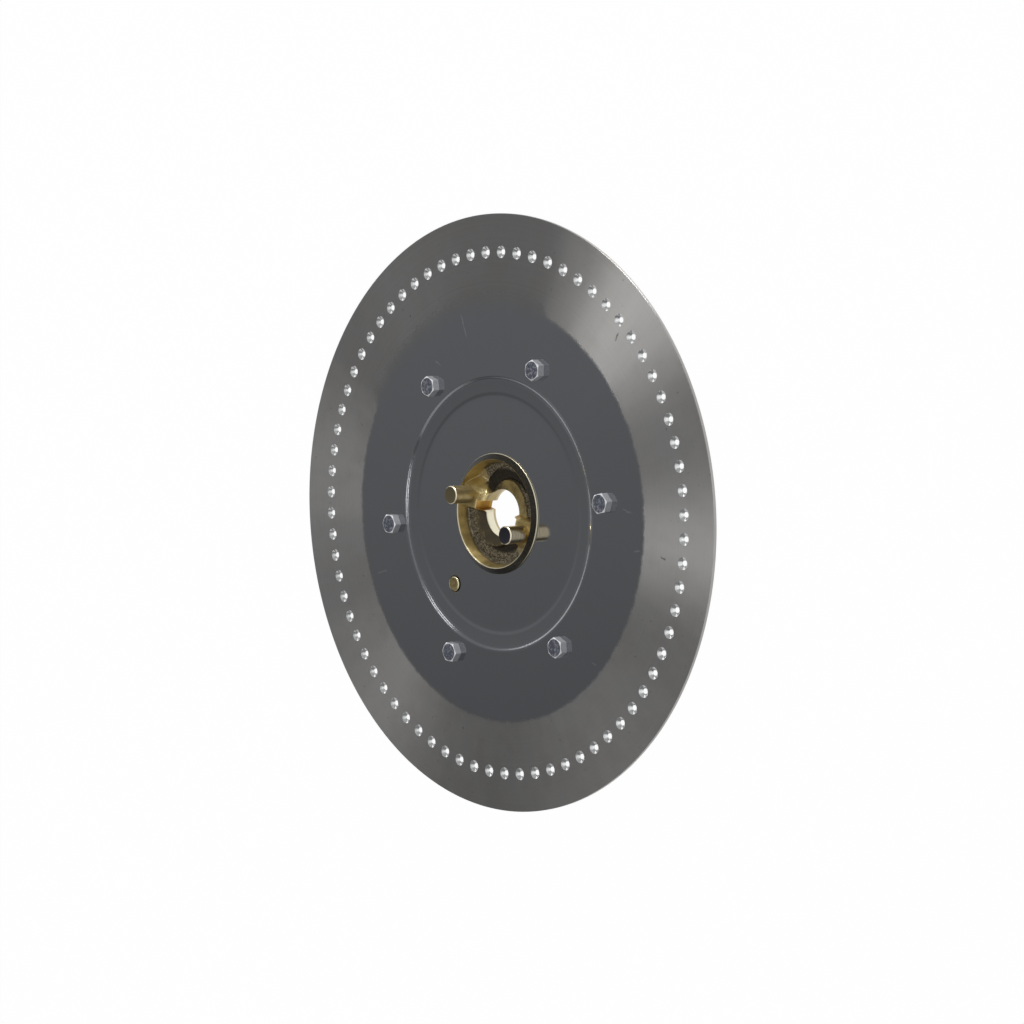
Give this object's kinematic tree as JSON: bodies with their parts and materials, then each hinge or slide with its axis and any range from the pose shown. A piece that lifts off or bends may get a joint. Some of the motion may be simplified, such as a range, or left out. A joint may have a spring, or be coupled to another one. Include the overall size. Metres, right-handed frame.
{
  "type": "planter seed plate",
  "caption": "Round dished steel seed plate with a ring of countersunk seed holes and hexagon agitator studs, clamped on a plated drive hub with two drive pins and an index peg.",
  "frame": {"origin": "on the axis of the hub's bore, at the hub's back face, which the part stands on", "axes": "+Z along the bore axis, out of the seed face with the studs and drive pins; +X through the first seed hole"},
  "size_m": [0.26, 0.26, 0.0207],
  "materials": {
    "plate_steel": "stainless sheet, smooth in the middle and ground in circles round the seed holes",
    "hub_casting": "casting with yellow zinc plating, rough in the pockets and turned on the lip and bore",
    "pin_steel": "turned steel with yellow zinc plating",
    "stud_steel": "bright cold-formed steel"
  },
  "bodies": {
    "root": {"seed_plate": "plate_steel", "drive_hub": "hub_casting", "index_peg": "pin_steel", "drive_pin_1": "pin_steel", "drive_pin_2": "pin_steel", "agitator_stud_1": "stud_steel", "agitator_stud_2": "stud_steel", "agitator_stud_3": "stud_steel", "agitator_stud_4": "stud_steel", "agitator_stud_5": "stud_steel", "agitator_stud_6": "stud_steel"}
  },
  "joints": []
}
